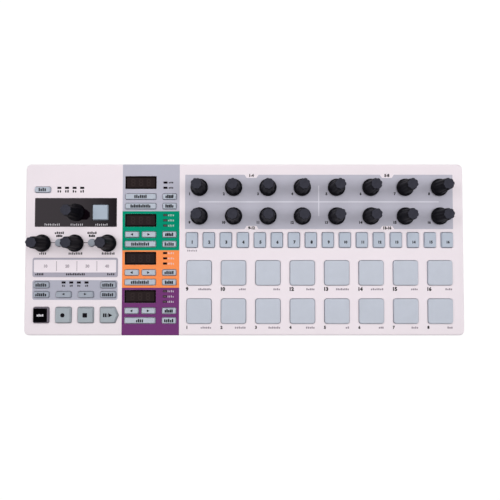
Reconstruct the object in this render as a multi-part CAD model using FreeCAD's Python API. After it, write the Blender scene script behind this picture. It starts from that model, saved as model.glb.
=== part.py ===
import FreeCAD, Part
import math
import os

# A desktop pad controller, in millimetres. X runs along its length, Y to the rear, Z up.
# The origin is on the table under the middle of the case.

# Case
corner_radius = 4.7
cover_edge_round = 1.8
side_wall = 2.0
top_wall = 2.5
frame_inset = 0.4
base_inset = 0.8
base_thickness = 1.5
foot_height = 2.0
foot_radius = 7.0
foot_inset_x = 17.0
foot_inset_y = 15.0
rear_opening_inset = 6.0
rear_panel_gap = 0.1
left_margin = 7.75
right_margin = 9.4
rear_margin = 10.1
block_gap = 4.05
column_gap = 5.2

# Circuit board
board_thickness = 1.6
board_edge_gap = 0.5

# Screws, spacers and bosses
screw_radius = 1.5
screw_head_radius = 2.75
screw_head_height = 1.5
screw_thread_depth = 3.8
screw_hole_radius = 1.7
boss_radius = 3.0
boss_bore_gap = 0.05
boss_wall_gap = 0.2
spacer_bore_gap = 0.25
corner_screw_inset = 6.5
rear_screw_insets = [146.0, 252.0]

# Sockets at the rear
jack_base_gap = 0.9
jack_width = 8.0
jack_height = 7.0
jack_bore_radius = 1.8
jack_bore_depth = 11.0
jack_back_wall = 1.0
jack_axis_drop = 3.5
jack_wall_gap = 0.1
jack_pitch = 12.0
jack_counts = [4, 6, 8]
jack_group_insets = [46.0, 170.0, 274.0]
usb_width = 8.9
usb_height = 3.3
usb_length = 7.5
usb_wall = 0.3
usb_tongue_width = 6.7
usb_tongue_thickness = 0.7
usb_tongue_setback = 0.7
usb_hole_gap = 0.2
usb_inset = 22.0

# All keys
key_gap = 0.45
key_lip = 1.1
key_flange_thickness = 0.9
flange_clearance = 0.3
key_travel = 1.0
press_clearance = 0.3
key_edge_round = 0.35
small_key_rise = 1.4
small_key_draft = 0.45
small_key_radius = 0.9

# Switch under each key
switch_size = 6.0
switch_height = 2.0
switch_floor = 0.6
plunger_radius = 1.6
plunger_gap = 0.3
plunger_clearance = 0.15

# Pads
columns = 8
pad_size = 23.0
pad_column_gap = 9.2
pad_row_gap = 12.75
pad_inset = 1.95
pad_rise = 1.7
pad_radius = 2.3
pad_edge_round = 0.9
pad_lip = 1.3
pad_flange_thickness = 1.5
pad_travel = 0.8
pad_foot_size = 14.0
pad_foot_clearance = 0.15
pad_boss_gap = 1.8
sensor_thickness = 0.6
sensor_boss_gap = 0.5

# Step keys, twice as many as the columns of pads
step_key_depth = 14.2
step_key_spacing = 5.05
step_pitch_trim = 0.15
step_key_rise = 1.6
step_key_radius = 1.3
step_key_gap = 3.2
pad_gap = 12.15

# Rotary encoders and their knobs
encoder_row_pitch = 27.0
encoder_edge_gap = 12.15
encoder_size = 11.6
encoder_roof_gap = 0.2
encoder_floor = 0.8
bushing_wall = 0.75
bushing_rise = 0.5
bushing_hole_gap = 0.3
shaft_radius = 3.0
shaft_gap = 0.25
shaft_end_gap = 0.3
knob_floor_gap = 1.0
knob_height = 19.0
skirt_radius = 8.15
skirt_height = 1.3
skirt_cone_height = 2.3
grip_base_radius = 6.45
grip_top_radius = 5.15
grip_top_round = 0.7
flute_count = 8
flute_radius = 2.6
flute_depth = 0.5
knob_bore_depth = 11.0
knob_bore_gap = 0.05
knob_turn_step = 17.0

# Left block, from rear to front
left_rear_margin = 21.6
left_key_radius = 1.5
sync_key_width = 14.8
sync_key_depth = 5.4
sync_lamp_rise = 1.8
sync_lamp_shift = 5.1
tempo_gap = 5.2
tempo_inset = 1.4
tempo_depth = 27.0
tempo_window_thickness = 1.2
tempo_display_margin = 2.2
tempo_display_depth = 11.0
tap_key_size = 14.3
tap_key_radius = 0.7
small_knob_count = 3
small_knob_inset = 1.0
small_knob_gap = 5.55
round_key_radius = 3.4
round_key_gap = 3.8
round_key_shift = 0.4
strip_depth = 18.0
strip_thickness = 1.0
strip_rise = 0.3
strip_radius = 1.9
strip_gap = 4.35
edit_key_depth = 5.9
edit_key_inset = 0.15
edit_key_gap = 3.1
edit_lamp_rise = 2.2
edit_row_gap = 8.8
transport_key_count = 4
transport_key_gap = 6.1
transport_key_inset = 1.3
transport_key_rise = 2.2
transport_key_draft = 0.95
transport_key_radius = 1.4
play_key_tip = 2.3
play_key_point = 3.2
front_row_offset = 0.2
transport_row_offset = 0.35

# Centre column: equal sections, each with a display, lamps and two rows of keys
section_count = 4
column_rear_margin = 11.5
display_inset = 2.5
display_width = 29.3
display_depth = 12.0
wide_key_inset = 0.35
display_key_gap = 4.6
small_key_depth = 5.4
key_row_gap = 3.6
arrow_key_gap = 3.1
side_key_gap = 6.1
side_key_inset = 2.95
window_thickness = 1.0
window_radius = 0.5
window_fit = 0.1
window_ledge = 1.2
module_gap = 0.2

# Lamps
lamp_width = 3.8
lamp_depth = 2.0
lamp_fit = 0.05
lamp_pitch = 7.16
column_lamp_gap = 6.5
column_lamp_pitch = 4.9

# Heights, from the table up
base_top = foot_height + base_thickness
jack_floor = base_top + jack_base_gap
board_bottom = jack_floor + jack_height
board_top = board_bottom + board_thickness
switch_top = board_top + switch_height
flange_bottom = switch_top + press_clearance + key_travel
flange_top = flange_bottom + key_flange_thickness
ceiling = flange_top + flange_clearance
panel_top = ceiling + top_wall
jack_axis_height = board_bottom - jack_axis_drop
pad_flange_bottom = flange_top - pad_flange_thickness
sensor_top = board_top + sensor_thickness
knob_bottom = panel_top + knob_floor_gap
knob_top = knob_bottom + knob_height

# Widths of the encoder bushings and the three blocks of controls
bushing_radius = shaft_radius + shaft_gap + bushing_wall
small_knob_pitch = 2 * (skirt_radius + round_key_gap + round_key_radius)
left_block_width = 2 * (small_knob_inset + skirt_radius) + (small_knob_count - 1) * small_knob_pitch
transport_key_size = (left_block_width - 2 * transport_key_inset
                      - (transport_key_count - 1) * transport_key_gap) / transport_key_count
left_pitch = transport_key_size + transport_key_gap
edit_key_width = transport_key_size - 2 * edit_key_inset
tempo_width = left_block_width - 2 * tempo_inset
tempo_display_width = tempo_width / 2 - skirt_radius - 2 * tempo_display_margin
wide_key_width = display_width - 2 * wide_key_inset
small_key_width = (wide_key_width - arrow_key_gap) / 2
column_width = display_inset + display_width + side_key_gap + small_key_width + side_key_inset
column_pitch = pad_size + pad_column_gap
# The step keys stand a little closer than half the pitch of the pads.
step_key_pitch = column_pitch / 2 - step_pitch_trim
step_key_width = step_key_pitch - step_key_spacing
panel_margin = pad_size / 2 + pad_inset
panel_width = (columns - 1) * column_pitch + 2 * panel_margin

# Overall size
encoder_panel_depth = encoder_row_pitch + 2 * encoder_edge_gap
screw_edge = side_wall + boss_wall_gap + boss_radius
front_margin = screw_edge + boss_radius + pad_boss_gap + pad_lip
case_length = (left_margin + left_block_width + block_gap + column_width
               + column_gap + panel_width + right_margin)
case_depth = (rear_margin + encoder_panel_depth + step_key_gap + step_key_depth
              + pad_gap + 2 * pad_size + pad_row_gap + front_margin)
left_edge = -case_length / 2
rear_edge = case_depth / 2
front_edge = -case_depth / 2

# Places from left to right
left_x = left_edge + left_margin + left_block_width / 2
left_columns = [left_x + left_pitch * (i - (transport_key_count - 1) / 2)
                for i in range(transport_key_count)]
tempo_side_offset = (skirt_radius + tempo_width / 2) / 2
tap_key_x = left_x + tempo_side_offset
tempo_display_x = left_x - tempo_side_offset
sync_lamp_x = left_x - sync_lamp_shift
column_left = left_edge + left_margin + left_block_width + block_gap
display_x = column_left + display_inset + display_width / 2
column_lamp_x = display_x + display_width / 2 + column_lamp_gap + lamp_width / 2
side_key_x = display_x + display_width / 2 + side_key_gap + small_key_width / 2
panel_left = column_left + column_width + column_gap
first_column_x = panel_left + panel_margin
column_xs = [first_column_x + column_pitch * i for i in range(columns)]
pad_middle_x = first_column_x + column_pitch * (columns - 1) / 2

# Rows of the large block, from the rear
encoder_rows = [
    rear_edge - rear_margin - encoder_edge_gap,
    rear_edge - rear_margin - encoder_edge_gap - encoder_row_pitch,
]
step_key_y = rear_edge - rear_margin - encoder_panel_depth - step_key_gap - step_key_depth / 2
upper_pad_y = step_key_y - step_key_depth / 2 - pad_gap - pad_size / 2
pad_rows = [upper_pad_y, upper_pad_y - pad_size - pad_row_gap]

# Rows of the left block: two hang from the rear edge, the others stand on the front row
sync_key_y = rear_edge - left_rear_margin - sync_key_depth / 2
sync_lamp_y = sync_key_y + sync_lamp_rise
tempo_y = sync_key_y - sync_key_depth / 2 - tempo_gap - tempo_depth / 2
front_row = front_edge + front_margin + front_row_offset
transport_y = front_row + transport_row_offset + transport_key_size / 2
lower_edit_y = transport_y + transport_key_size / 2 + edit_row_gap + edit_key_depth / 2
upper_edit_y = lower_edit_y + edit_key_depth + edit_key_gap
edit_lamp_y = upper_edit_y + edit_lamp_rise
strip_y = upper_edit_y + edit_key_depth / 2 + strip_gap + strip_depth / 2
small_knob_y = strip_y + strip_depth / 2 + small_knob_gap + skirt_radius
round_key_y = small_knob_y + round_key_shift

# Sections of the centre column, between its rear margin and the front row
section_depth = display_depth + display_key_gap + 2 * small_key_depth + key_row_gap
section_pitch = (rear_edge - column_rear_margin - front_row - section_depth) / (section_count - 1)
first_display_y = rear_edge - column_rear_margin - display_depth / 2
display_ys = [first_display_y - section_pitch * i for i in range(section_count)]
key_row_drop = (display_depth + small_key_depth) / 2 + display_key_gap
key_row_drops = [key_row_drop, key_row_drop + small_key_depth + key_row_gap]

# Sockets along the rear
jacks = [left_edge + inset + jack_pitch * i
         for count, inset in zip(jack_counts, jack_group_insets) for i in range(count)]
usb_x = left_edge + usb_inset

# Screws: at the edges, and in gaps between the controls
corner_screw_x = case_length / 2 - corner_screw_inset
front_screw_pitch = 2 * corner_screw_x / 5
between_pad_rows = (pad_rows[0] + pad_rows[1]) / 2
between_encoder_rows = (encoder_rows[0] + encoder_rows[1]) / 2
screw_places = (
    [(x, y) for x in (-corner_screw_x, corner_screw_x)
     for y in (front_edge + screw_edge, rear_edge - screw_edge)]
    + [(front_screw_pitch * k, front_edge + screw_edge) for k in (-1.5, -0.5, 0.5, 1.5)]
    + [(left_edge + inset, rear_edge - screw_edge) for inset in rear_screw_insets]
    + [(first_column_x + column_pitch * k, between_pad_rows) for k in (-0.5, 2.5, 5.5)]
    + [(first_column_x + column_pitch * k, between_encoder_rows) for k in (1.5, 5.5)]
    + [(left_x, (tempo_y + small_knob_y) / 2), (column_left - block_gap / 2, display_ys[1])]
)


def vector(x, y, z=0.0):
    return FreeCAD.Vector(x, y, z)


def rectangle(x, y, width, depth):
    """The four corners of a rectangle about a centre, anticlockwise."""
    w = width / 2
    d = depth / 2
    return [(x - w, y - d), (x + w, y - d), (x + w, y + d), (x - w, y + d)]


def corner_geometry(points, i):
    """A corner as a vector, its unit bisector pointing inwards, and half its angle."""
    here = vector(*points[i])
    to_before = (vector(*points[i - 1]) - here).normalize()
    to_after = (vector(*points[(i + 1) % len(points)]) - here).normalize()
    half_angle = to_before.getAngle(to_after) / 2
    return here, (to_before + to_after).normalize(), half_angle, to_before, to_after


def grown(points, distance):
    """A convex outline with every side moved outwards."""
    moved = []
    for i in range(len(points)):
        here, bisector, half_angle, _, _ = corner_geometry(points, i)
        corner = here - bisector * (distance / math.sin(half_angle))
        moved.append((corner.x, corner.y))
    return moved


def outline(points, radius, z):
    """A closed wire through the points at height z, with its corners rounded."""
    arcs = []
    for i in range(len(points)):
        here, bisector, half_angle, to_before, to_after = corner_geometry(points, i)
        setback = radius / math.tan(half_angle)
        centre = here + bisector * (radius / math.sin(half_angle))
        ends = [here + to_before * setback, centre - bisector * radius, here + to_after * setback]
        arcs.append([vector(p.x, p.y, z) for p in ends])
    edges = []
    for i, arc in enumerate(arcs):
        following = arcs[(i + 1) % len(arcs)]
        edges.append(Part.Arc(*arc).toShape())
        edges.append(Part.makeLine(arc[2], following[0]))
    return Part.Wire(edges)


def block(points, radius, bottom, top):
    """An upright prism on a rounded outline."""
    return Part.Face(outline(points, radius, bottom)).extrude(vector(0, 0, top - bottom))


def box(x, y, width, depth, bottom, top):
    """A plain upright box about a centre."""
    corner = vector(x - width / 2, y - depth / 2, bottom)
    return Part.makeBox(width, depth, top - bottom, corner)


def post(x, y, radius, bottom, top):
    """An upright cylinder."""
    return Part.makeCylinder(radius, top - bottom, vector(x, y, bottom))


def joined(solids):
    """One solid from touching pieces."""
    return solids[0].multiFuse(solids[1:]).removeSplitter().Solids[0]


def level_edges(shape, z):
    """The edges of a shape that lie flat at height z."""
    near = 1e-4
    return [e for e in shape.Edges
            if abs(e.BoundBox.ZMin - z) < near and abs(e.BoundBox.ZMax - z) < near]


def case_outline(inset):
    """The case seen from above, drawn in by an inset: its corners and their radius."""
    points = rectangle(0, 0, case_length - 2 * inset, case_depth - 2 * inset)
    return points, corner_radius - inset


# Controls, each with its place

def key_shape(x, y, size, radius, rise, draft):
    """A four-sided key: its outline, corner radius, height above the panel and slope."""
    return {"x": x, "y": y, "points": rectangle(x, y, *size), "radius": radius, "rise": rise,
            "draft": draft}


def small_key(x, y, size, radius=small_key_radius):
    return key_shape(x, y, size, radius, small_key_rise, small_key_draft)


def transport_key(x):
    size = (transport_key_size, transport_key_size)
    return key_shape(x, transport_y, size, transport_key_radius, transport_key_rise,
                     transport_key_draft)


def play_key_shape(x):
    """The play key: square at the left and pointed at the right."""
    shape = transport_key(x)
    half = transport_key_size / 2
    tip = x + half + play_key_tip
    shoulder = tip - play_key_point
    low = transport_y - half
    high = transport_y + half
    shape["points"] = [
        (x - half, low),
        (shoulder, low),
        (tip, transport_y),
        (shoulder, high),
        (x - half, high),
    ]
    return shape


def column_key_shapes():
    """Two rows of keys under each display: wide keys in the first section, arrows in the others."""
    size = (small_key_width, small_key_depth)
    wide = (wide_key_width, small_key_depth)
    arrow_offset = (wide_key_width - small_key_width) / 2
    shapes = []
    for section, display_y in enumerate(display_ys):
        for row, drop in enumerate(key_row_drops):
            y = display_y - drop
            if section > 0 and row == 0:
                shapes.append(small_key(display_x - arrow_offset, y, size))
                shapes.append(small_key(display_x + arrow_offset, y, size))
            else:
                shapes.append(small_key(display_x, y, wide))
            shapes.append(small_key(side_key_x, y, size))
    return shapes


def left_key_shapes():
    """The sync key and the six keys of the edit block, whose upper row has lamps in its middle."""
    size = (edit_key_width, edit_key_depth)
    shapes = [small_key(left_columns[0], sync_key_y, (sync_key_width, sync_key_depth), left_key_radius)]
    shapes += [small_key(x, upper_edit_y, size, left_key_radius)
               for x in (left_columns[0], left_columns[-1])]
    shapes += [small_key(x, lower_edit_y, size, left_key_radius) for x in left_columns]
    return shapes


def step_key_shapes():
    """The step keys, in one row centred on the pads."""
    first = pad_middle_x - step_key_pitch * (columns - 0.5)
    size = (step_key_width, step_key_depth)
    return [key_shape(first + step_key_pitch * i, step_key_y, size, step_key_radius, step_key_rise,
                      small_key_draft) for i in range(2 * columns)]


tap_key_shape = key_shape(tap_key_x, tempo_y, (tap_key_size, tap_key_size), tap_key_radius,
                          step_key_rise, small_key_draft)
key_groups = {
    "step_keys": step_key_shapes(),
    "column_keys": column_key_shapes(),
    "left_keys": left_key_shapes(),
    "shift_key": [transport_key(left_columns[0])],
    "transport_keys": [transport_key(left_columns[1]), transport_key(left_columns[2]),
                       play_key_shape(left_columns[-1])],
    "tap_key": [tap_key_shape],
}
round_keys = [(left_x + side * small_knob_pitch / 2, round_key_y) for side in (-1, 1)]
pads = [(x, y) for y in reversed(pad_rows) for x in column_xs]
encoders = {f"encoder_knob_{i + 1:02d}": place
            for i, place in enumerate((x, y) for y in encoder_rows for x in column_xs)}
encoders["tempo_knob"] = (left_x, tempo_y)
for knob_index, knob_name in enumerate(("swing_knob", "chance_knob", "random_knob")):
    encoders[knob_name] = (left_x + small_knob_pitch * (knob_index - 1), small_knob_y)
sync_lamps = [(sync_lamp_x + lamp_pitch * (i - 1.5), sync_lamp_y) for i in range(4)]
edit_lamps = [(left_x + lamp_pitch * (i - 1.5), edit_lamp_y) for i in range(4)]
section_lamps = [(column_lamp_x, y + column_lamp_pitch * (1 - i))
                 for section, y in enumerate(display_ys) for i in range(3) if section or i]
lamps = sync_lamps + edit_lamps + section_lamps


# Moving pieces

def key_cap(shape):
    """The sloped part of a key that stands above the panel."""
    low = outline(shape["points"], shape["radius"], panel_top)
    top_radius = max(shape["radius"] - shape["draft"] / 2, key_edge_round)
    high = outline(grown(shape["points"], -shape["draft"]), top_radius, panel_top + shape["rise"])
    cap = Part.makeLoft([low, high], True, True)
    return cap.makeFillet(key_edge_round, level_edges(cap, panel_top + shape["rise"]))


def plunger(x, y):
    """The pin under a key that reaches into its switch."""
    bottom = board_top + switch_floor + key_travel + plunger_clearance
    return post(x, y, plunger_radius, bottom, flange_bottom)


def key(shape):
    """A key: cap, stem through the panel, retaining flange and plunger."""
    stem = block(shape["points"], shape["radius"], flange_bottom, panel_top)
    flange = block(grown(shape["points"], key_lip), shape["radius"] + key_lip / 2,
                   flange_bottom, flange_top)
    return joined([key_cap(shape), stem, flange, plunger(shape["x"], shape["y"])])


def round_key(x, y):
    """A round key, built as the others are."""
    stem = post(x, y, round_key_radius, flange_bottom, panel_top + small_key_rise)
    stem = stem.makeFillet(key_edge_round, level_edges(stem, panel_top + small_key_rise))
    flange = post(x, y, round_key_radius + key_lip, flange_bottom, flange_top)
    return joined([stem, flange, plunger(x, y)])


def pad(x, y):
    """A rubber pad: rounded head, retaining flange and a foot that presses the sensor."""
    head = block(rectangle(x, y, pad_size, pad_size), pad_radius, pad_flange_bottom,
                 panel_top + pad_rise)
    head = head.makeFillet(pad_edge_round, level_edges(head, panel_top + pad_rise))
    flange_size = pad_size + 2 * pad_lip
    flange = block(rectangle(x, y, flange_size, flange_size), pad_radius, pad_flange_bottom,
                   flange_top)
    foot = box(x, y, pad_foot_size, pad_foot_size, sensor_top + pad_travel + pad_foot_clearance,
               pad_flange_bottom)
    return joined([head, flange, foot])


def knob(x, y, turn):
    """A knob: flared skirt and a tapered grip with flutes, bored for the shaft."""
    cone_bottom = knob_bottom + skirt_height
    grip_bottom = cone_bottom + skirt_cone_height
    skirt = post(0, 0, skirt_radius, knob_bottom, cone_bottom)
    flare = Part.makeCone(skirt_radius, grip_base_radius, skirt_cone_height, vector(0, 0, cone_bottom))
    grip_height = knob_top - grip_bottom
    grip = Part.makeCone(grip_base_radius, grip_top_radius, grip_height, vector(0, 0, grip_bottom))
    grip = grip.makeFillet(grip_top_round, level_edges(grip, knob_top))
    slope = (grip_base_radius - grip_top_radius) / grip_height
    reach = flute_radius - flute_depth
    for i in range(flute_count):
        angle = math.radians(360 / flute_count * i)
        out = vector(math.cos(angle), math.sin(angle), 0)
        axis = vector(0, 0, 1) - out * slope
        start = out * (grip_base_radius + reach) + vector(0, 0, grip_bottom)
        grip = grip.cut(Part.makeCylinder(flute_radius, 2 * grip_height, start, axis))
    body = joined([skirt, flare, grip])
    bore = post(0, 0, shaft_radius + knob_bore_gap, knob_bottom, knob_bottom + knob_bore_depth)
    body = body.cut(bore).Solids[0]
    body.rotate(vector(0, 0, 0), vector(0, 0, 1), turn)
    body.translate(vector(x, y, 0))
    return body


def shaft(x, y):
    """The encoder's shaft, fixed in the knob's bore."""
    return post(x, y, shaft_radius, board_top + encoder_floor + shaft_end_gap,
                knob_bottom + knob_bore_depth - shaft_end_gap)


# Case

def screw_bosses():
    """Bosses under the panel that rest on the board, and the bores for their screws."""
    bosses = [post(x, y, boss_radius, board_top, ceiling) for x, y in screw_places]
    bores = [post(x, y, screw_radius + boss_bore_gap, board_top,
                  board_top + screw_thread_depth + boss_bore_gap) for x, y in screw_places]
    return bosses, bores


def bushing_hole(x, y):
    """The hole round an encoder's bushing."""
    return post(x, y, bushing_radius + bushing_hole_gap, ceiling, panel_top)


def recess(x, y, size, radius, thickness):
    """A shallow pocket in the panel that a window or the strip is let into."""
    points = grown(rectangle(x, y, *size), window_fit)
    return block(points, radius + window_fit, panel_top - thickness, panel_top)


def panel_openings():
    """Everything that is cut through or into the panel."""
    cuts = []
    for shapes in key_groups.values():
        for shape in shapes:
            cuts.append(block(grown(shape["points"], key_gap), shape["radius"] + key_gap,
                              ceiling, panel_top))
    for x, y in round_keys:
        cuts.append(post(x, y, round_key_radius + key_gap, ceiling, panel_top))
    for x, y in pads:
        size = pad_size + 2 * key_gap
        cuts.append(block(rectangle(x, y, size, size), pad_radius + key_gap, ceiling, panel_top))
    for x, y in encoders.values():
        cuts.append(bushing_hole(x, y))
    for x, y in lamps:
        cuts.append(box(x, y, lamp_width + 2 * lamp_fit, lamp_depth + 2 * lamp_fit, ceiling, panel_top))
    for y in display_ys:
        cuts.append(recess(display_x, y, (display_width, display_depth), window_radius,
                           window_thickness))
        cuts.append(box(display_x, y, display_width - 2 * window_ledge,
                        display_depth - 2 * window_ledge, ceiling, panel_top))
    cuts.append(recess(left_x, tempo_y, (tempo_width, tempo_depth), window_radius,
                       tempo_window_thickness))
    cuts.append(box(tempo_display_x, tempo_y, tempo_display_width, tempo_display_depth, ceiling,
                    panel_top))
    cuts.append(recess(left_x, strip_y, (left_block_width, strip_depth), strip_radius,
                       strip_thickness))
    return cuts


def top_cover():
    """The moulded upper shell: panel, short walls and screw bosses."""
    points, radius = case_outline(0)
    shell = block(points, radius, board_top, panel_top)
    shell = shell.makeFillet(cover_edge_round, level_edges(shell, panel_top))
    inner, inner_radius = case_outline(side_wall)
    shell = shell.cut(block(inner, inner_radius, board_top, ceiling))
    bosses, bores = screw_bosses()
    shell = shell.multiFuse(bosses)
    return shell.cut(panel_openings() + bores).removeSplitter()


def case_frame():
    """The lower wall round the front and the sides, open at the rear between its corners."""
    points, radius = case_outline(frame_inset)
    inner, inner_radius = case_outline(side_wall)
    ring = block(points, radius, base_top, board_top)
    ring = ring.cut(block(inner, inner_radius, base_top, board_top))
    gap = box(0, rear_edge, case_length - 2 * rear_opening_inset, 4 * side_wall, base_top, board_top)
    return ring.cut(gap)


def jack_hole(x, length, start):
    """A cylinder along Y on a jack's axis."""
    return Part.makeCylinder(jack_bore_radius, length, vector(x, start, jack_axis_height),
                             vector(0, 1, 0))


def rear_prism(points, radius, rear, length):
    """A prism on an outline in X and Z that reaches forward from a Y."""
    prism = block(points, radius, 0, length)
    prism.rotate(vector(0, 0), vector(1, 0), 90)
    prism.translate(vector(0, rear, 0))
    return prism


def rear_panel():
    """The rear wall, with a hole for each jack and for the data socket."""
    thickness = side_wall - frame_inset
    wall = box(0, rear_edge - frame_inset - thickness / 2,
               case_length - 2 * (rear_opening_inset + rear_panel_gap), thickness,
               base_top, board_top)
    for x in jacks:
        wall = wall.cut(jack_hole(x, 2 * side_wall, rear_edge - 2 * side_wall))
    points = rectangle(usb_x, board_bottom - usb_height / 2, usb_width + 2 * usb_hole_gap,
                       usb_height + 2 * usb_hole_gap)
    return wall.cut(rear_prism(points, usb_height / 2 - usb_hole_gap, rear_edge, 2 * side_wall))


def base_plate():
    """The steel base, with a hole for each screw."""
    points, radius = case_outline(base_inset)
    plate = block(points, radius, foot_height, base_top)
    return plate.cut([post(x, y, screw_hole_radius, foot_height, base_top) for x, y in screw_places])


def rubber_feet():
    """Six round feet glued under the base."""
    reach_x = case_length / 2 - foot_inset_x
    reach_y = case_depth / 2 - foot_inset_y
    return [post(x, y, foot_radius, 0, foot_height)
            for x in (-reach_x, 0, reach_x) for y in (-reach_y, reach_y)]


def case_screws():
    """Screws from below, through base, spacer and board into the cover's bosses."""
    screws = []
    for x, y in screw_places:
        head = post(x, y, screw_head_radius, foot_height - screw_head_height, foot_height)
        stem = post(x, y, screw_radius, foot_height, board_top + screw_thread_depth)
        screws.append(joined([head, stem]))
    return screws


def board_spacers():
    """Tubes between the base and the board, round each screw."""
    spacers = []
    for x, y in screw_places:
        tube = post(x, y, boss_radius, base_top, board_bottom)
        spacers.append(tube.cut(post(x, y, screw_radius + spacer_bore_gap, base_top, board_bottom)))
    return spacers


# Inside

def main_board():
    """The circuit board that carries all the controls and sockets."""
    points, radius = case_outline(side_wall + board_edge_gap)
    board = block(points, radius, board_bottom, board_top)
    return board.cut([post(x, y, screw_hole_radius, board_bottom, board_top) for x, y in screw_places])


def encoder_bodies():
    """Encoder housings on the board, each with a bushing through the panel."""
    bodies = []
    for x, y in encoders.values():
        housing = box(x, y, encoder_size, encoder_size, board_top, ceiling - encoder_roof_gap)
        bushing = post(x, y, bushing_radius, board_top, panel_top + bushing_rise)
        bore = post(x, y, shaft_radius + shaft_gap, board_top + encoder_floor,
                    panel_top + bushing_rise)
        bodies.append(joined([housing, bushing]).cut(bore))
    return bodies


def key_switches():
    """A push switch on the board under every key, open for the key's plunger."""
    places = [(shape["x"], shape["y"]) for shapes in key_groups.values() for shape in shapes]
    switches = []
    for x, y in places + round_keys:
        body = box(x, y, switch_size, switch_size, board_top, switch_top)
        well = post(x, y, plunger_radius + plunger_gap, board_top + switch_floor, switch_top)
        switches.append(body.cut(well))
    return switches


def pad_sensor_sheet():
    """The pressure sensor sheet on the board under all the pads."""
    margin = pad_size / 2 + pad_lip
    width = column_xs[-1] - column_xs[0] + 2 * margin
    depth = pad_rows[0] - pad_rows[1] + 2 * margin
    sheet = box(pad_middle_x, between_pad_rows, width, depth, board_top, sensor_top)
    return sheet.cut([post(x, y, boss_radius + sensor_boss_gap, board_top, sensor_top)
                      for x, y in screw_places])


def jack_sockets():
    """Jack sockets under the board, open to the rear."""
    mouth = rear_edge - side_wall - jack_wall_gap
    jack_length = jack_bore_depth + jack_back_wall
    sockets = []
    for x in jacks:
        body = box(x, mouth - jack_length / 2, jack_width, jack_length, jack_floor, board_bottom)
        sockets.append(body.cut(jack_hole(x, jack_bore_depth, mouth - jack_bore_depth)))
    return sockets


def usb_socket():
    """The data socket: an oval metal shell with a tongue inside."""
    middle = board_bottom - usb_height / 2
    rear = rear_edge - frame_inset
    round_off = usb_height / 2 - usb_hole_gap / 2
    shell = rear_prism(rectangle(usb_x, middle, usb_width, usb_height), round_off, rear, usb_length)
    inner = rectangle(usb_x, middle, usb_width - 2 * usb_wall, usb_height - 2 * usb_wall)
    depth = usb_length - 2 * usb_wall
    shell = shell.cut(rear_prism(inner, round_off - usb_wall, rear, depth))
    tongue_length = usb_length - usb_tongue_setback
    tongue = box(usb_x, rear - usb_length + tongue_length / 2, usb_tongue_width, tongue_length,
                 middle - usb_tongue_thickness / 2, middle + usb_tongue_thickness / 2)
    return joined([shell, tongue])


# Windows, strip and lamps

def display_windows():
    """A smoked window over each display."""
    return [block(rectangle(display_x, y, display_width, display_depth), window_radius,
                  panel_top - window_thickness, panel_top) for y in display_ys]


def tempo_window():
    """The glossy panel round the tempo knob and the tap key."""
    plate = block(rectangle(left_x, tempo_y, tempo_width, tempo_depth), window_radius,
                  panel_top - tempo_window_thickness, panel_top)
    square = block(grown(tap_key_shape["points"], key_gap), tap_key_shape["radius"] + key_gap,
                   ceiling, panel_top)
    return plate.cut([bushing_hole(*encoders["tempo_knob"]), square])


def display_modules():
    """Digit displays on the board, just under their windows."""
    clearance = window_ledge + module_gap
    modules = [box(display_x, y, display_width - 2 * clearance, display_depth - 2 * clearance,
                   board_top, panel_top - window_thickness - module_gap) for y in display_ys]
    modules.append(box(tempo_display_x, tempo_y, tempo_display_width - 2 * module_gap,
                       tempo_display_depth - 2 * module_gap, board_top,
                       panel_top - tempo_window_thickness - module_gap))
    return modules


def touch_strip():
    """The touch strip, let into the panel."""
    return block(rectangle(left_x, strip_y, left_block_width, strip_depth), strip_radius,
                 panel_top - strip_thickness, panel_top + strip_rise)


def indicator_leds():
    """Lamps with light guides that reach from the board to the panel's face."""
    return [box(x, y, lamp_width, lamp_depth, board_top, panel_top) for x, y in lamps]


def build():
    """Every node's name with its solids."""
    nodes = {
        "top_cover": [top_cover()],
        "case_frame": [case_frame()],
        "rear_panel": [rear_panel()],
        "base_plate": [base_plate()],
        "rubber_feet": rubber_feet(),
        "case_screws": case_screws(),
        "board_spacers": board_spacers(),
        "main_board": [main_board()],
        "encoder_bodies": encoder_bodies(),
        "key_switches": key_switches(),
        "pad_sensor_sheet": [pad_sensor_sheet()],
        "jack_sockets": jack_sockets(),
        "usb_socket": [usb_socket()],
        "display_windows": display_windows(),
        "tempo_window": [tempo_window()],
        "display_modules": display_modules(),
        "touch_strip": [touch_strip()],
        "indicator_leds": indicator_leds(),
    }
    for name, shapes in key_groups.items():
        nodes[name] = [key(shape) for shape in shapes]
    nodes["left_keys"] += [round_key(x, y) for x, y in round_keys]
    for i, (x, y) in enumerate(pads):
        nodes[f"pad_{i + 1:02d}"] = [pad(x, y)]
    for i, (name, (x, y)) in enumerate(encoders.items()):
        nodes[name] = [knob(x, y, knob_turn_step * i), shaft(x, y)]
    return nodes


os.makedirs("parts", exist_ok=True)
for node, pieces in build().items():
    Part.makeCompound(pieces).exportStep(f"parts/{node}.step")
    print(node, len(pieces), "solids")
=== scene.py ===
import math

import bmesh
import bpy
from mathutils import Matrix, Vector

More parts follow.
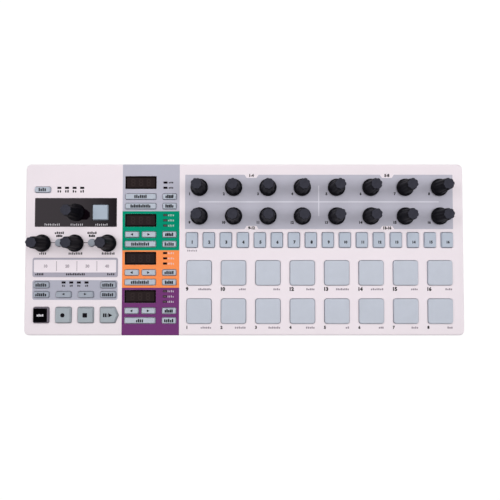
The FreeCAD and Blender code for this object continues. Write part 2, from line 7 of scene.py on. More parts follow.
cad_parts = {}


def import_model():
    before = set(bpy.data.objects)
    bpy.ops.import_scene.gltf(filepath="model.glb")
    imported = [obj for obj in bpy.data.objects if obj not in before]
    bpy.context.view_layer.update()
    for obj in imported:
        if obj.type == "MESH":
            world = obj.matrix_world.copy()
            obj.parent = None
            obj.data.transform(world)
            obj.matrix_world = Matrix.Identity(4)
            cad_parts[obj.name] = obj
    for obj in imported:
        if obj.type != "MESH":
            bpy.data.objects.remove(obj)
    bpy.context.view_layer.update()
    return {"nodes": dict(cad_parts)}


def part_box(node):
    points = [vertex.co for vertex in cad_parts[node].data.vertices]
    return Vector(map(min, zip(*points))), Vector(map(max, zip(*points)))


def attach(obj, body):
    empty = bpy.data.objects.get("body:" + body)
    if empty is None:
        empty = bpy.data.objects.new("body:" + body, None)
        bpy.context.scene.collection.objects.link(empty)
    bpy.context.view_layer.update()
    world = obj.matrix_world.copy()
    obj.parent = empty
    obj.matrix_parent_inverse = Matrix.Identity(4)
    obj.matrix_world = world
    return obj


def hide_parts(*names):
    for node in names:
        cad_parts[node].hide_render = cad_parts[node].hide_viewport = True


# A desktop pad controller. Sizes are in millimetres, and meshes are scaled to metres when they are made.
mm = 0.001

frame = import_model()

# Camera, in metres: straight above, leaning a little to the rear, as the photograph was taken
camera_place = (0.0126, -0.00995, 0.386)
camera_tilt = 1.47
camera_lens = 28.1
camera_sensor = 36.0
camera_shift = -0.01546

# Light and floor, in metres
white_light = (1, 1, 1, 1)
world_level = 0.285
top_light_place = (0.01, 0.17, 0.55)
top_light_size = 0.8
top_light_power = 2.22
side_light_reach = 1.0
side_light_height = 0.85
side_light_size = 0.7
side_light_powers = (3.6, 4.7)
reflected_left = 1.35
reflected_from = -0.44
reflected_to = -0.28
reflected_right = 0.0
floor_size = 30.0
floor_drop = 0.0002
floor_grey = (0.93, 0.93, 0.93, 1)
floor_roughness = 0.9
floor_white_level = 1.04
floor_share_of_white = 0.94

# Prints: thin layers of ink on the surfaces
ink_rise = 0.03
upper_rise = 0.05
top_rise = 0.055
ink_sink = 0.01
print_corner = 0.08

# Roundings: lines in a quarter turn, the share of a side that a corner may take, the least radius when inset
arc_steps = 6
side_share = 0.49
least_radius = 0.2

# Colours as the photograph shows them, 0 to 255
cover_white = (241, 231, 237)
body_black = (30, 29, 31)
panel_grey = (190, 188, 201)
section_colours = {
    "grey": (186, 185, 199),
    "green": (0, 146, 114),
    "orange": (255, 148, 87),
    "purple": (118, 59, 118),
}
block_grey = (180, 180, 194)
strip_grey = (174, 170, 184)
strip_white = (243, 233, 240)
divider_white = (224, 222, 232)
ink_dark = (22, 19, 25)
ink_light = (150, 140, 150)
ink_white = (226, 222, 228)
ink_faint = (172, 160, 170)
key_grey = (186, 193, 205)
# The same rubber as the other keys, painted darker: the shade over the front of the left block and under its
# small knobs
edit_shaded_key_grey = (165, 171, 183)
step_key_grey = (187, 195, 209)
tap_key_grey = (175, 187, 202)
lamp_pale = (96, 82, 86)
pad_grey = (197, 202, 214)
transport_grey = (168, 176, 183)
shift_black = (3, 1, 4)
# The shift key is black rubber; its sides are painted grey, a painted reflection of the light round them
shift_lit_side_grey = (130, 122, 134)
knob_black = (16, 15, 21)
# The knob's top is the same rubber as its grip, painted paler: the light that falls on it from above
knob_lit_top_grey = (56, 56, 66)
window_black = (14, 8, 9)
display_brown = (42, 33, 34)
segment_brown = (56, 46, 46)
gloss_black = (16, 9, 15)
lamp_black = (24, 16, 24)

# Colours of what the photograph doesn't show
foot_black = (26, 26, 27)
screw_grey = (96, 96, 99)
spacer_brass = (200, 172, 105)
board_green = (16, 84, 52)
plated_grey = (196, 196, 198)
switch_black = (22, 22, 24)
film_brown = (62, 54, 46)
socket_black = (24, 24, 25)


# Reading the frame

def solids(node):
    """The separate solids of a node, each as a list of its points in millimetres."""
    mesh = frame["nodes"][node].data
    index = {}
    welded = [index.setdefault(tuple(v.co), len(index)) for v in mesh.vertices]
    root = list(range(len(index)))

    def find(i):
        while root[i] != i:
            root[i] = root[root[i]]
            i = root[i]
        return i

    for polygon in mesh.polygons:
        first, *others = [find(welded[i]) for i in polygon.vertices]
        for other in others:
            root[find(other)] = find(first)
    groups = {}
    for place, i in index.items():
        groups.setdefault(find(i), []).append(tuple(c / mm for c in place))
    return list(groups.values())


def span(points):
    """The middle and the size of some points, seen from above."""
    xs = [p[0] for p in points]
    ys = [p[1] for p in points]
    middle = ((min(xs) + max(xs)) / 2, (min(ys) + max(ys)) / 2)
    return middle, (max(xs) - min(xs), max(ys) - min(ys))


def box_mm(node):
    """The low and the high corner of a node in millimetres."""
    low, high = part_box(node)
    return low / mm, high / mm


# How far a point may lie from the panel's height and still count as on it
near = 0.02
cover_low, cover_high = box_mm("top_cover")
panel_top = cover_high.z


def caps(node):
    """The key tops of a node, from front left to rear right: middle, size at the panel and height."""
    found = []
    for points in solids(node):
        above = [p for p in points if p[2] > panel_top - near]
        if above:
            middle, size = span([p for p in above if p[2] < panel_top + near] or above)
            found.append((middle, size, max(p[2] for p in above) - panel_top))
    return sorted(found, key=lambda cap: (round(cap[0][1]), cap[0][0]))


def places(node):
    """The middles of a node's solids, from front left to rear right."""
    found = [span(points)[0] for points in solids(node)]
    return sorted(found, key=lambda place: (round(place[1]), place[0]))


# Outlines and meshes

def rectangle(middle, size, radius):
    """The corners of a rectangle, anticlockwise, each with its rounding."""
    x, y = middle
    w, d = size[0] / 2, size[1] / 2
    return [(x - w, y - d, radius), (x + w, y - d, radius), (x + w, y + d, radius), (x - w, y + d, radius)]


def corner_frame(corners, i):
    """A corner, its directions to the corners beside it and the shorter distance to them."""
    here = Vector(corners[i][:2])
    before = Vector(corners[i - 1][:2]) - here
    after = Vector(corners[(i + 1) % len(corners)][:2]) - here
    return here, before.normalized(), after.normalized(), min(before.length, after.length)


def rounded(corners, steps=arc_steps):
    """A closed outline through corners, each rounded with steps short lines."""
    points = []
    for i, corner in enumerate(corners):
        here, before, after, shortest = corner_frame(corners, i)
        half_angle = before.angle(after) / 2
        setback = min(corner[2] / math.tan(half_angle), side_share * shortest)
        radius = setback * math.tan(half_angle)
        if radius < 1e-6:
            points.append(tuple(here))
            continue
        centre = here + (before + after).normalized() * (radius / math.sin(half_angle))
        start = here + before * setback - centre
        turn = start.angle_signed(here + after * setback - centre)
        for step in range(steps + 1):
            angle = -turn * step / steps
            spoke = Matrix.Rotation(angle, 2) @ start
            points.append(tuple(centre + spoke))
    return points


def inset(corners, distance):
    """Corners of a convex outline with every side moved inwards and the rounding drawn in."""
    moved = []
    for i, corner in enumerate(corners):
        here, before, after, _ = corner_frame(corners, i)
        half_angle = before.angle(after) / 2
        place = here + (before + after).normalized() * (distance / math.sin(half_angle))
        moved.append((place.x, place.y, max(corner[2] - distance, least_radius)))
    return moved


def quarter(steps=arc_steps):
    """The shares inwards and upwards along a quarter round, after its start."""
    angles = [math.pi / 2 * step / steps for step in range(1, steps + 1)]
    return [(1 - math.cos(angle), math.sin(angle)) for angle in angles]


def circle(middle, radius, count=48):
    angles = [2 * math.pi * i / count for i in range(count)]
    return [(middle[0] + radius * math.cos(a), middle[1] + radius * math.sin(a)) for a in angles]


def lifted(outline, z):
    return [(x, y, z) for x, y in outline]


def skin(shape, rings, slots=None, closed=False):
    """Skins rings of equally many points into a bmesh. Slots are the materials of its bands and its top."""
    loops = [[shape.verts.new(p) for p in ring] for ring in rings]
    slots = slots or [0] * (len(loops) + 1)
    count = len(rings[0])
    pairs = list(zip(loops, loops[1:] + loops[:1]))
    for band, (low, high) in enumerate(pairs if closed else pairs[:-1]):
        for i in range(count):
            j = (i + 1) % count
            face = shape.faces.new((low[i], low[j], high[j], high[i]))
            face.material_index = slots[band]
    if not closed:
        shape.faces.new(list(reversed(loops[0])))
        top = shape.faces.new(loops[-1])
        top.material_index = slots[len(loops) - 1]


def revolved(shape, middle, profile, count=48, closed=False):
    """Skins circles about an upright axis through a list of radius and height pairs."""
    skin(shape, [lifted(circle(middle, radius, count), z) for radius, z in profile], closed=closed)


smooth_limit = math.radians(38)


def mesh_from(shape, name, looks=(), scale=mm):
    """A mesh in metres from a bmesh in millimetres, smooth except at real edges, with its materials."""
    bmesh.ops.recalc_face_normals(shape, faces=shape.faces)
    shape.transform(Matrix.Scale(scale, 4))
    mesh = bpy.data.meshes.new(name)
    shape.to_mesh(mesh)
    shape.free()
    mesh.shade_smooth()
    mesh.set_sharp_from_angle(angle=smooth_limit)
    for look in looks:
        mesh.materials.append(materials[look])
    return mesh


def placed(name, data):
    """A new object in the scene."""
    made = bpy.data.objects.new(name, data)
    bpy.context.scene.collection.objects.link(made)
    return made


def piece(name, shape, looks, body, nodes=()):
    """Puts a bmesh into the scene as a piece that rides on a body. Looks are the names of its materials."""
    made = placed(name, mesh_from(shape, name, looks))
    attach(made, body)
    if nodes:
        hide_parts(*nodes)


# Materials

# Where a noise has gone from its lowest to its highest: for colours and for gloss
mottle_range = (0.3, 0.7)
gloss_range = (0.35, 0.65)
noise_roughness = 0.55


def linear(colour, factor):
    """A colour of 0 to 255 in linear light, made darker or lighter by a factor, with full opacity."""
    shares = [c / 255 for c in colour]
    light = [s / 12.92 if s <= 0.04045 else ((s + 0.055) / 1.055) ** 2.4 for s in shares]
    return [min(c * factor, 1.0) for c in light] + [1.0]


def fill(node, **values):
    """Sets inputs of a shader node. An underscore stands for the space in an input's name."""
    for name, value in values.items():
        node.inputs[name.replace("_", " ")].default_value = value


def add_node(tree, kind, **values):
    """A new shader node with its inputs set."""
    node = tree.nodes.new("ShaderNode" + kind)
    fill(node, **values)
    return node


def link(source, output, target, socket):
    """Links an output of one shader node to an input of another."""
    target.id_data.links.new(source.outputs[output], target.inputs[socket])


def noise(tree, scale, detail):
    """A noise in the object's own space. Scale is the size of a grain in millimetres."""
    where = add_node(tree, "TexCoord")
    texture = add_node(tree, "TexNoise", Scale=1 / (scale * mm), Detail=detail, Roughness=noise_roughness)
    link(where, "Object", texture, "Vector")
    return texture


def surface(name, colour, roughness, mottle=0.03, patch=14.0, grain=0.35, relief=0.25,
            depth=0.01, uneven=0.05, shine=0.5, **values):
    """A procedural surface: a slow mottle of the colour, fine grain in its relief and uneven gloss."""
    material = bpy.data.materials.new(name)
    material.use_nodes = True
    tree = material.node_tree
    shader = tree.nodes["Principled BSDF"]
    slow = noise(tree, patch, detail=3.0)
    fine = noise(tree, grain, detail=2.0)
    ramp = add_node(tree, "ValToRGB")
    for element, position, factor in zip(ramp.color_ramp.elements, mottle_range, (1 - mottle, 1 + mottle)):
        element.position = position
        element.color = linear(colour, factor)
    gloss = add_node(tree, "MapRange", From_Min=gloss_range[0], From_Max=gloss_range[1],
                     To_Min=roughness - uneven, To_Max=roughness + uneven)
    bump = add_node(tree, "Bump", Strength=relief, Distance=depth * mm)
    link(slow, "Fac", ramp, "Fac")
    link(ramp, "Color", shader, "Base Color")
    link(fine, "Fac", gloss, "Value")
    link(gloss, "Result", shader, "Roughness")
    link(fine, "Fac", bump, "Height")
    link(bump, "Normal", shader, "Normal")
    fill(shader, Specular_IOR_Level=shine, **values)
    return material


def ink(name, colour, roughness=0.5):
    """A matt print, hardly glossy, so that its colour stays deep."""
    return surface(name, colour, roughness, mottle=0.015, patch=9.0, grain=0.3, relief=0.15, shine=0.04)


def rubber(name, colour):
    """The matt rubber of a key."""
    return surface(name, colour, 0.55, mottle=0.02, patch=5.0, grain=0.22, shine=0.25)


def grip(name, colour, mottle):
    """The dark rubber of a knob, also used for the paler copy that paints the light on the knob's top."""
    return surface(name, colour, 0.5, mottle, patch=2.5, grain=0.2, relief=0.35, depth=0.015, shine=0.1)


def brushed(name, colour, roughness):
    """Plated or bare metal with faint streaks."""
    return surface(name, colour, roughness, mottle=0.06, patch=1.2, grain=0.12, relief=0.2, Metallic=1.0)


materials = {
    "cover": surface("cover_plastic", cover_white, 0.46, mottle=0.012, patch=40.0, grain=0.45,
                     relief=0.22, depth=0.012, shine=0.12),
    "steel": surface("powder_coat", body_black, 0.52, mottle=0.06, patch=6.0, grain=0.5, relief=0.5,
                     depth=0.03),
    "foot": surface("foot_rubber", foot_black, 0.8, mottle=0.08, patch=3.0, grain=0.25, relief=0.4),
    "screw": brushed("screw_steel", screw_grey, 0.38),
    "brass": brushed("spacer_brass", spacer_brass, 0.3),
    "board": surface("circuit_board", board_green, 0.35, mottle=0.12, patch=4.0, grain=0.8),
    "metal": brushed("plated_metal", plated_grey, 0.28),
    "switch": surface("switch_plastic", switch_black, 0.5),
    "film": surface("sensor_film", film_brown, 0.5, mottle=0.1, patch=5.0),
    "socket": surface("socket_plastic", socket_black, 0.45),
    "window": surface("display_window", window_black, 0.16, mottle=0.05, grain=0.6, relief=0.03,
                      uneven=0.02, shine=0.12),
    "display": surface("display_face", display_brown, 0.3, mottle=0.06, patch=5.0, grain=0.5,
                       relief=0.05, shine=0.1),
    "segment": surface("display_segment", segment_brown, 0.34, mottle=0.05, grain=0.5, relief=0.05,
                       shine=0.1),
    "gloss": surface("tempo_panel", gloss_black, 0.05, mottle=0.05, grain=0.9, relief=0.02, uneven=0.02,
                     Specular_Tint=(1.0, 0.9, 0.97, 1.0)),
    "strip": surface("strip_plastic", strip_grey, 0.4, mottle=0.015, relief=0.12, shine=0.2),
    "lamp": surface("lamp_plastic", lamp_black, 0.2, mottle=0.1, patch=1.0, grain=0.5, relief=0.05,
                    shine=0.1),
    "key": rubber("key_rubber", key_grey),
    "step_key": rubber("step_key_rubber", step_key_grey),
    "transport_key": rubber("transport_rubber", transport_grey),
    "shift_key": surface("shift_rubber", shift_black, 0.4, mottle=0.1, patch=3.0, grain=0.22, shine=0.02),
    # A grey copy of key rubber: painted reflection on the sides of the black shift key
    "shift_lit_side": rubber("shift_lit_side_rubber", shift_lit_side_grey),
    "tap_key": rubber("tap_key_rubber", tap_key_grey),
    "pad": surface("pad_rubber", pad_grey, 0.58, mottle=0.02, patch=9.0, grain=0.3, relief=0.3, shine=0.25),
    "knob": grip("knob_rubber", knob_black, 0.12),
    # A paler copy of the knob rubber: painted light on the knob's top
    "knob_lit_top": grip("knob_lit_top_rubber", knob_lit_top_grey, 0.06),
    # A darker copy of the key rubber: painted shade on the front and round keys of the left block
    "edit_shaded_key": rubber("edit_shaded_key_rubber", edit_shaded_key_grey),
    "pale_lamp": ink("pale_lamp", lamp_pale, 0.3),
    "strip_ink": ink("strip_ink", strip_white, 0.36),
}
ink_colours = {
    "panel": panel_grey,
    "block": block_grey,
    "divider": divider_white,
    "dark": ink_dark,
    "light": ink_light,
    "white": ink_white,
    "faint": ink_faint,
}
for shade, colour in ink_colours.items():
    materials[shade + "_ink"] = ink(shade + "_ink", colour)
for section, colour in section_colours.items():
    materials[section] = ink(section + "_ink", colour)

node_materials = {
    "top_cover": "cover",
    "case_frame": "steel",
    "rear_panel": "steel",
    "base_plate": "steel",
    "board_spacers": "brass",
    "main_board": "board",
    "encoder_bodies": "metal",
    "key_switches": "switch",
    "pad_sensor_sheet": "film",
    "jack_sockets": "socket",
    "usb_socket": "metal",
    "display_windows": "window",
    "tempo_window": "gloss",
    "display_modules": "display",
    "touch_strip": "strip",
    "indicator_leds": "lamp",
}
for node_name, look in node_materials.items():
    solid = frame["nodes"][node_name]
    if not solid.material_slots:
        solid.data.materials.append(None)
    for node_slot in solid.material_slots:
        node_slot.material = materials[look]


# Inks

# Rows of strokes: the pitch and width of a stroke, the lowest height as a share of the highest, and how far
# the wave of heights runs from one stroke and from one row to the next
level_pitch = 1.65
level_stroke = 1.2
lowest_level = 0.68
stroke_turn = 1.9
row_turn = 0.7

# Numbers: the size in which they are drawn before they are scaled, and how far their outlines grow when bold
drawn_size = 10.0
bold = 0.6

prints = {}


def flat_mesh(curve, height, rise):
    """A thin closed slab from a flat curve, from just under a height up to its rise."""
    curve.extrude = (rise + ink_sink) / 2
    holder = bpy.data.objects.new("outline", curve)
    mesh = bpy.data.meshes.new_from_object(holder)
    bpy.data.objects.remove(holder)
    bpy.data.curves.remove(curve)
    mesh.transform(Matrix.Translation((0, 0, height + (rise - ink_sink) / 2)))
    return mesh


def print_shape(body, ink_name):
    """The bmesh that holds all prints in one ink on one body."""
    if (body, ink_name) not in prints:
        prints[body, ink_name] = bmesh.new()
    return prints[body, ink_name]


def add_mesh(body, ink_name, mesh):
    print_shape(body, ink_name).from_mesh(mesh)
    bpy.data.meshes.remove(mesh)


def area(body, ink_name, outlines, height, rise=ink_rise):
    """A printed area: the first outline filled, the others left bare."""
    curve = bpy.data.curves.new("area", "CURVE")
    curve.dimensions = "2D"
    curve.fill_mode = "BOTH"
    for outline in outlines:
        spline = curve.splines.new("POLY")
        spline.points.add(len(outline) - 1)
        for point, (x, y) in zip(spline.points, outline):
            point.co = (x, y, 0, 1)
        spline.use_cyclic_u = True
    add_mesh(body, ink_name, flat_mesh(curve, height, rise))


def numeral(body, ink_name, text, place, tall, height=panel_top, rise=ink_rise, weight=bold):
    """A plain number, its middle at a place."""
    curve = bpy.data.curves.new("numeral", "FONT")
    curve.body = text
    curve.size = drawn_size
    curve.offset = weight
    curve.resolution_u = 4
    mesh = flat_mesh(curve, height, rise)
    middle, size = span([v.co for v in mesh.vertices])
    grow = tall / size[1]
    shift = Vector((place[0] - middle[0] * grow, place[1] - middle[1] * grow, 0))
    mesh.transform(Matrix.Translation(shift) @ Matrix.Diagonal((grow, grow, 1, 1)))
    add_mesh(body, ink_name, mesh)


def bar(body, ink_name, middle, size, height=panel_top, rise=ink_rise, radius=print_corner):
    """A printed rectangle."""
    area(body, ink_name, [rounded(rectangle(middle, size, radius), 2)], height, rise)


def levels(body, ink_name, middle, width, tall, seed, height=panel_top, rise=ink_rise, stroke=level_stroke):
    """A plain sign in the place of a word: upright strokes of uneven height, as on a level meter."""
    count = max(2, round(width / level_pitch))
    for i in range(count):
        share = lowest_level + (1 - lowest_level) * abs(math.sin(stroke_turn * i + row_turn * seed))
        x = middle[0] + (i - (count - 1) / 2) * width / count
        y = middle[1] - tall * (1 - share) / 2
        bar(body, ink_name, (x, y), (stroke, tall * share), height, rise)


def arrow(body, middle, size, direction, height):
    """A solid triangle that points left or right."""
    w, d = size[0] / 2, size[1] / 2
    side = 1 if direction == "right" else -1
    corners = [(-side * w, -side * d), (side * w, 0), (-side * w, side * d)]
    outline = rounded([(middle[0] + x, middle[1] + y, print_corner) for x, y in corners], 2)
    area(body, "dark_ink", [outline], height)


# Keys and pads

stem_depth = 2.8
flange_lip = 1.1
flange_bottom = -stem_depth - 0.9
crown_shares = (0.12, 0.3, 0.55, 0.85)
small_key_radius = 0.9
left_key_radius = 1.5
small_key_draft = 0.45
key_edge = 0.4
round_key_flat = 0.3
step_key_radius = 1.3
tap_key_radius = 0.7
transport_radius = 1.4
transport_draft = 0.95
play_key_point = 3.2
pad_radius = 2.3
pad_edge = 0.8
pad_crown = 0.22


def add_cap(shape, corners, rise, draft, edge=key_edge, crown=0.0, top_slot=0):
    """Adds a key or pad with a flange and a soft top. The top's material begins halfway round its edge."""
    side_top = rise - crown - edge
    drawn_in = draft * side_top / rise
    rings = [(-flange_lip, flange_bottom), (-flange_lip, -stem_depth), (0.0, -stem_depth), (0.0, 0.0),
             (drawn_in, side_top)]
    rings += [(drawn_in + edge * inwards, side_top + edge * up) for inwards, up in quarter()]
    flat = drawn_in + edge
    narrow = min(span(corners)[1]) / 2 - flat
    rings += [(flat + narrow * share, rise - crown * (1 - share) ** 2) for share in crown_shares]
    side_bands = 4 + arc_steps // 2
    slots = [0] * side_bands + [top_slot] * (len(rings) - side_bands)
    skin(shape, [lifted(rounded(inset(corners, distance)), panel_top + z) for distance, z in rings], slots)


def is_round(cap):
    """Whether a cap of the left block is a round one."""
    return abs(cap[1][0] - cap[1][1]) < 0.1


def add_round_cap(shape, middle, radius, rise):
    profile = [(radius + flange_lip, flange_bottom), (radius + flange_lip, -stem_depth),
               (radius, -stem_depth), (radius, rise - key_edge)]
    profile += [(radius - key_edge * inwards, rise - key_edge * (1 - up)) for inwards, up in quarter()]
    profile.append((radius * round_key_flat, rise))
    revolved(shape, middle, [(r, panel_top + z) for r, z in profile])


def cap_piece(name, radius, looks, slot, draft, last=None, **form):
    """The keys of a node, or a pad, as one piece. Last replaces the corners and the rise of the last key."""
    shape = bmesh.new()
    outlined = [(rectangle(middle, size, radius), rise) for middle, size, rise in caps(name)]
    if last:
        outlined[-1] = last
    for corners, rise in outlined:
        add_cap(shape, corners, rise, draft, **form)
    piece(name + "_rubber", shape, looks, name, [name])


def play_cap():
    """The corners and the rise of the play key: square at the left and pointed at the right."""
    (x, y), (across, deep), rise = caps("transport_keys")[-1]
    # The pointed end is rounded, so its corner lies a little past the key's own reach.
    half_point = math.atan2(deep / 2, play_key_point)
    sharp = transport_radius * (1 / math.sin(half_point) - 1)
    left, right = x - across / 2, x + across / 2 + sharp
    low, high = y - deep / 2, y + deep / 2
    shoulder = right - play_key_point
    corners = [(left, low), (shoulder, low), (right, y), (shoulder, high), (left, high)]
    return [(a, b, transport_radius) for a, b in corners], rise


def left_key_piece():
    """The small keys of the left block and its two round keys, all painted darker than the key at the rear,
    as shade.
    """
    shape = bmesh.new()
    found = caps("left_keys")
    for cap in found:
        middle, size, rise = cap
        first_face = len(shape.faces)
        if is_round(cap):
            add_round_cap(shape, middle, size[0] / 2, rise)
        else:
            add_cap(shape, rectangle(middle, size, left_key_radius), rise, small_key_draft)
        # Every key but the rearmost takes the darker copy, painted shade
        for face in list(shape.faces)[first_face:]:
            face.material_index = int(cap is not found[-1])
    piece("left_keys_rubber", shape, ["key", "edit_shaded_key"], "left_keys", ["left_keys"])


cap_piece("step_keys", step_key_radius, ["step_key"], "key_rubber", small_key_draft)
cap_piece("column_keys", small_key_radius, ["key"], "key_rubber", small_key_draft)
cap_piece("tap_key", tap_key_radius, ["tap_key"], "key_rubber", small_key_draft)
cap_piece("transport_keys", transport_radius, ["transport_key"], "transport_rubber",
          transport_draft, play_cap())
left_key_piece()
# The shift key's black top, with its sides painted grey as a reflection
cap_piece("shift_key", transport_radius, ["shift_lit_side", "shift_key"], "shift_rubber",
          transport_draft, top_slot=1)
pad_names = [f"pad_{i + 1:02d}" for i in range(16)]
for pad_name in pad_names:
    cap_piece(pad_name, pad_radius, ["pad"], "pad_rubber", 0.0, edge=pad_edge, crown=pad_crown)


# Knobs

knob_points = 128
flute_count = 8
flute_radius = 2.6
flute_depth = 0.5
flute_edge = 0.5
flute_start = 0.4
skirt_round = 0.35
skirt_steps = 3
skirt_height = 1.3
cone_height = 2.3
cone_flare = 1.6
cone_steps = 6
grip_radius = 6.45
grip_top_radius = 5.15
grip_top_round = 0.7
grip_steps = 5
# Rings at the top of the grip's rounding that take the top's painted highlight
lit_edge_rings = 3
knob_dish = 0.35
dish_shares = (0.9, 0.75, 0.5, 0.25)
shaft_radius = 3.0
knob_gap = 1.0
turn_step = 17.0


def soft_minimum(a, b, width):
    """The smaller of two lengths, with the meeting rounded over a width."""
    h = max(width - abs(a - b), 0.0) / width
    return min(a, b) - h * h * width / 4


def fluted_radius(base, angle):
    """The grip's radius at an angle, with round hollows between soft lands."""
    pitch = 2 * math.pi / flute_count
    off = (angle + pitch / 2) % pitch - pitch / 2
    reach = base + flute_radius - flute_depth
    inside = flute_radius ** 2 - (reach * math.sin(off)) ** 2
    hollow = reach * math.cos(off) - math.sqrt(inside) if inside > 0 else base + flute_edge
    return soft_minimum(base, hollow, flute_edge)


def knob_ring(radius, z, flutes):
    """A circle at a height, with a share of the flutes' depth."""
    ring = []
    for i in range(knob_points):
        angle = 2 * math.pi * i / knob_points
        r = radius + (fluted_radius(grip_radius, angle) - grip_radius) * flutes
        ring.append((r * math.cos(angle), r * math.sin(angle), z))
    return ring


def knob_mesh(skirt_radius, bottom, top, shaft_bottom):
    """A knob about its own axis: shaft, flared skirt, fluted grip and a slightly hollow top, painted paler
    as the light on it.
    """
    edge = skirt_radius - skirt_round
    cone_bottom = bottom + skirt_height
    grip_bottom = cone_bottom + cone_height
    grip_end = top - grip_top_round
    slope = (grip_radius - grip_top_radius) / (top - grip_bottom)
    rings = [(shaft_radius, shaft_bottom, 0), (shaft_radius, bottom, 0), (edge, bottom, 0)]
    for inwards, up in quarter(skirt_steps):
        rings.append((edge + skirt_round * up, bottom + skirt_round * inwards, 0))
    for step in range(skirt_steps + 1):
        angle = math.pi / 3 * step / skirt_steps
        up = skirt_round * (math.sin(angle) - 1)
        rings.append((edge + skirt_round * math.cos(angle), cone_bottom + up, 0))
    for step in range(1, cone_steps + 1):
        share = step / cone_steps
        radius = grip_radius + (edge - grip_radius) * (1 - share) ** cone_flare
        flutes = max(0.0, share - flute_start) / (1 - flute_start)
        rings.append((radius, cone_bottom + cone_height * share, flutes))
    for step in range(1, grip_steps + 1):
        z = grip_bottom + (grip_end - grip_bottom) * step / grip_steps
        rings.append((grip_radius - slope * (z - grip_bottom), z, 1))
    for inwards, up in quarter(grip_steps):
        rings.append((grip_top_radius - grip_top_round * inwards, grip_end + grip_top_round * up, 1))
    # The top and the last rings of its rounding take the paler copy, a painted highlight
    dark_bands = len(rings) - lit_edge_rings
    rim = grip_top_radius - grip_top_round
    rings += [(rim * share, top - knob_dish * (1 - share ** 2), share) for share in dish_shares]
    slots = [0] * dark_bands + [1] * (len(rings) - dark_bands)
    shape = bmesh.new()
    skin(shape, [knob_ring(*ring) for ring in rings], slots)
    return mesh_from(shape, "knob", ["knob", "knob_lit_top"])


knob_names = [f"encoder_knob_{i + 1:02d}" for i in range(16)]
small_knob_names = ["swing_knob", "chance_knob", "random_knob"]
knob_low, knob_high = box_mm(knob_names[0])
shared_knob = knob_mesh((knob_high.x - knob_low.x) / 2, panel_top + knob_gap, knob_high.z, knob_low.z)
knob_places = {}
for knob_index, knob_name in enumerate(knob_names + ["tempo_knob"] + small_knob_names):
    low, high = box_mm(knob_name)
    x, y = ((low + high) / 2).xy
    knob_places[knob_name] = (x, y)
    knob = placed(knob_name + "_grip", shared_knob)
    knob.location = (x * mm, y * mm, 0)
    knob.rotation_euler.z = math.radians(turn_step * knob_index)
    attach(knob, knob_name)
    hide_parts(knob_name)


# Screws, feet and the rims of the rear sockets

screw_recess_width = 0.8
screw_recess_reach = 1.45
screw_recess_depth = 0.9
screw_recess_taper = 0.6
screw_head_radius = 2.75
screw_head_top = 2.0
screw_stem_radius = 1.5
screw_turn = 0.9
# Radii, and heights above the lowest point
screw_dome = [(0.4, 0.0), (1.4, 0.04), (2.1, 0.2), (2.55, 0.5), (screw_head_radius, 0.9)]


def copies(single, transforms):
    """A bmesh with a copy of a mesh at each transform."""
    shape = bmesh.new()
    for transform in transforms:
        copy = single.copy()
        copy.transform(transform)
        shape.from_mesh(copy)
        bpy.data.meshes.remove(copy)
    return shape


def screw_pieces():
    """Pan-head screws from below, each with a cross recess."""
    low, high = box_mm("case_screws")
    profile = [(radius, low.z + up) for radius, up in screw_dome]
    profile += [(screw_head_radius, screw_head_top), (screw_stem_radius, screw_head_top),
                (screw_stem_radius, high.z)]
    shape = bmesh.new()
    revolved(shape, (0, 0), profile, 40)
    head = placed("screw_head", mesh_from(shape, "screw_head", scale=1.0))
    cross = bmesh.new()
    w, r = screw_recess_width / 2, screw_recess_reach
    outline = [(w, w), (w, r), (-w, r), (-w, w), (-r, w), (-r, -w), (-w, -w), (-w, -r), (w, -r), (w, -w),
               (r, -w), (r, w)]
    narrowed = [(x * screw_recess_taper, y * screw_recess_taper) for x, y in outline]
    skin(cross, [lifted(outline, low.z - 0.5), lifted(narrowed, low.z + screw_recess_depth)])
    cutter = placed("screw_cross", mesh_from(cross, "screw_cross", scale=1.0))
    cut = head.modifiers.new("cross", "BOOLEAN")
    cut.object = cutter
    cut.operation = "DIFFERENCE"
    cut.solver = "EXACT"
    bpy.context.view_layer.update()
    single = bpy.data.meshes.new_from_object(head.evaluated_get(bpy.context.evaluated_depsgraph_get()))
    for made in (head, cutter):
        bpy.data.objects.remove(made)
    transforms = [Matrix.Translation((x, y, 0)) @ Matrix.Rotation(screw_turn * i, 4, "Z")
                  for i, (x, y) in enumerate(places("case_screws"))]
    piece("case_screws_cross", copies(single, transforms), ["screw"], "case", ["case_screws"])


foot_radius = 7.0
foot_flat_radius = 6.2
foot_round = 0.7
foot_taper = 0.25
# Radii, and heights above the lowest point
foot_sole = [(1.5, 0.35), (3.4, 0.35), (4.0, 0.1), (4.3, 0.0), (foot_flat_radius, 0.0)]


def foot_pieces():
    """Round rubber feet with a soft rim and a shallow ring in the middle."""
    low, high = box_mm("rubber_feet")
    rim = foot_radius - foot_flat_radius
    profile = [(radius, low.z + up) for radius, up in foot_sole]
    profile += [(foot_flat_radius + rim * up, low.z + foot_round * inwards) for inwards, up in quarter(5)]
    profile.append((foot_radius - foot_taper, high.z))
    shape = bmesh.new()
    for place in places("rubber_feet"):
        revolved(shape, place, profile, 64)
    piece("rubber_feet_round", shape, ["foot"], "case", ["rubber_feet"])


jack_axis_height = 7.9
# Radii, and heights above the rear panel
jack_rim = [(1.82, -0.05), (1.82, 0.24), (1.92, 0.34), (2.7, 0.34), (2.9, 0.14), (2.9, -0.05)]


def jack_rims():
    """A plated rim round each jack hole on the rear panel."""
    rear = box_mm("rear_panel")[1].y
    rim = bmesh.new()
    revolved(rim, (0, 0), jack_rim, 40, closed=True)
    transforms = [Matrix.Translation((x, rear, jack_axis_height)) @ Matrix.Rotation(-math.pi / 2, 4, "X")
                  for x, _ in places("jack_sockets")]
    shape = copies(mesh_from(rim, "rim", scale=1.0), transforms)
    piece("jack_rims", shape, ["metal"], "case")


